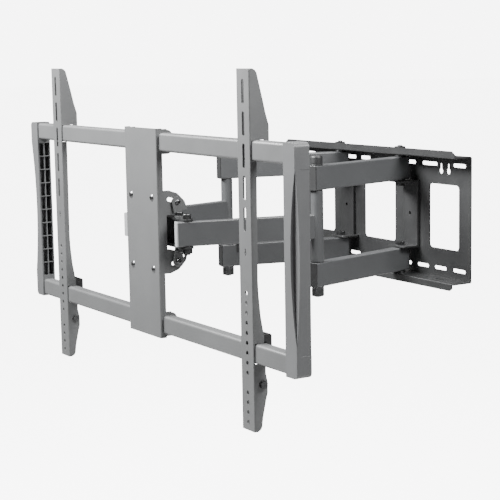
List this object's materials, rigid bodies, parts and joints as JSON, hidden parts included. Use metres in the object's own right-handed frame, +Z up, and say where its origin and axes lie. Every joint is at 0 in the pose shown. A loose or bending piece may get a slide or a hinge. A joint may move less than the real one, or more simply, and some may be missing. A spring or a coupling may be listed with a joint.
{
  "type": "full motion tv wall mount",
  "caption": "Dual-arm full motion television wall mount: slotted wall plate, folding tube arms, tilting head, railed frame with end caps and sliding slotted uprights.",
  "frame": {"origin": "centre of the wall plate's back face, on the wall", "axes": "+X right seen from the television side, +Y into the wall, +Z up"},
  "size_m": [1.198, 0.6656, 0.714],
  "materials": {
    "arm_powder": "fine textured charcoal powder coat",
    "frame_powder": "fine textured charcoal powder coat, satin",
    "black_powder": "black powder coat",
    "black_plastic": "fine grained moulded black plastic",
    "grey_plastic": "moulded grey plastic",
    "nylon": "black nylon",
    "plated_steel": "black zinc plated"
  },
  "bodies": {
    "wall": {"wall_plate": "black_powder", "wall_rib_right": "black_powder", "wall_rib_left": "black_powder", "pivot_lugs": "black_powder", "wall_pivot_bolts": "plated_steel", "wall_pivot_nuts": "plated_steel", "wall_pivot_washers": "plated_steel"},
    "head": {"yoke": "black_powder", "tilt_lugs": "frame_powder", "lug_bolts": "plated_steel", "tilt_screws": "plated_steel", "tilt_nuts": "plated_steel", "tilt_washers": "nylon", "head_pins": "plated_steel", "head_nuts": "plated_steel"},
    "tv_frame": {"tilt_bracket": "frame_powder", "carriage_bolts": "plated_steel", "carriage_nuts": "plated_steel", "spine": "frame_powder", "rail_upper": "frame_powder", "rail_lower": "frame_powder", "end_cap_right": "black_plastic", "end_cap_left": "black_plastic", "cap_screws": "plated_steel"},
    "rear_arm_right": {"rear_tube_upper_right": "arm_powder", "rear_tube_lower_right": "arm_powder", "rear_plugs_right": "black_plastic", "wall_bushes_right": "nylon", "elbow_shaft_right": "plated_steel", "elbow_cap_right": "black_plastic", "elbow_nut_right": "plated_steel"},
    "front_arm_right": {"front_tube_right": "arm_powder", "elbow_barrel_right": "arm_powder", "elbow_bushes_right": "nylon", "head_bushes_right": "nylon", "front_plug_right": "grey_plastic"},
    "upright_slider_right": {"upright_right": "frame_powder", "latch_guide_right": "black_plastic"},
    "latch_slider_right": {"latch_right": "black_plastic"},
    "lock_knob_right": {"lock_screw_right": "plated_steel"},
    "rear_arm_left": {"rear_tube_upper_left": "arm_powder", "rear_tube_lower_left": "arm_powder", "rear_plugs_left": "black_plastic", "wall_bushes_left": "nylon", "elbow_shaft_left": "plated_steel", "elbow_cap_left": "black_plastic", "elbow_nut_left": "plated_steel", "cable_clips": "black_plastic"},
    "front_arm_left": {"front_tube_left": "arm_powder", "elbow_barrel_left": "arm_powder", "elbow_bushes_left": "nylon", "head_bushes_left": "nylon", "front_plug_left": "grey_plastic"},
    "upright_slider_left": {"upright_left": "frame_powder", "latch_guide_left": "black_plastic"},
    "latch_slider_left": {"latch_left": "black_plastic"},
    "lock_knob_left": {"lock_screw_left": "plated_steel"}
  },
  "joints": [
    {"name": "fold", "type": "hinge", "parent": "wall", "child": "rear_arm_right", "pos_m": [0.12, -0.035, 0], "axis": [0, 0, 1], "range_deg": [-12, 65]},
    {"name": "elbow_right", "type": "hinge", "parent": "rear_arm_right", "child": "front_arm_right", "pos_m": [0.19238, -0.32531, 0], "axis": [0, 0, 1], "range_deg": [-138, 32]},
    {"name": "head_right", "type": "hinge", "parent": "front_arm_right", "child": "head", "pos_m": [0.12, -0.61562, 0], "axis": [0, 0, 1], "range_deg": [-16, 69]},
    {"name": "fold_left", "type": "hinge", "parent": "wall", "child": "rear_arm_left", "pos_m": [-0.12, -0.035, 0], "axis": [0, 0, 1], "range_deg": [-69, 16]},
    {"name": "elbow_left", "type": "hinge", "parent": "rear_arm_left", "child": "front_arm_left", "pos_m": [-0.19238, -0.32531, 0], "axis": [0, 0, 1], "range_deg": [-32, 138]},
    {"name": "tilt", "type": "hinge", "parent": "head", "child": "tv_frame", "pos_m": [0, -0.64763, 0], "axis": [1, 0, 0], "range_deg": [-12, 8]},
    {"name": "slide_right", "type": "slide", "parent": "tv_frame", "child": "upright_slider_right", "axis": [1, 0, 0], "range_m": [-0.3, 0.1]},
    {"name": "slide_left", "type": "slide", "parent": "tv_frame", "child": "upright_slider_left", "axis": [1, 0, 0], "range_m": [-0.09, 0.3]},
    {"name": "latch_right", "type": "slide", "parent": "upright_slider_right", "child": "latch_slider_right", "axis": [0, 0, 1], "range_m": [0, 0.012], "stiffness_N_per_m": 150, "springref_m": -0.005},
    {"name": "lock_right", "type": "hinge", "parent": "upright_slider_right", "child": "lock_knob_right", "pos_m": [0.424, -0.63862, -0.265], "axis": [1, 0, 0], "continuous": true},
    {"name": "latch_left", "type": "slide", "parent": "upright_slider_left", "child": "latch_slider_left", "axis": [0, 0, 1], "range_m": [0, 0.012], "stiffness_N_per_m": 150, "springref_m": -0.005},
    {"name": "lock_left", "type": "hinge", "parent": "upright_slider_left", "child": "lock_knob_left", "pos_m": [-0.44, -0.63862, -0.265], "axis": [1, 0, 0], "continuous": true}
  ],
  "couplings": [
    {"joint": "elbow_right", "follows": "fold", "ratio": -2},
    {"joint": "head_right", "follows": "fold", "ratio": 1},
    {"joint": "fold_left", "follows": "fold", "ratio": -1},
    {"joint": "elbow_left", "follows": "fold", "ratio": 2}
  ]
}
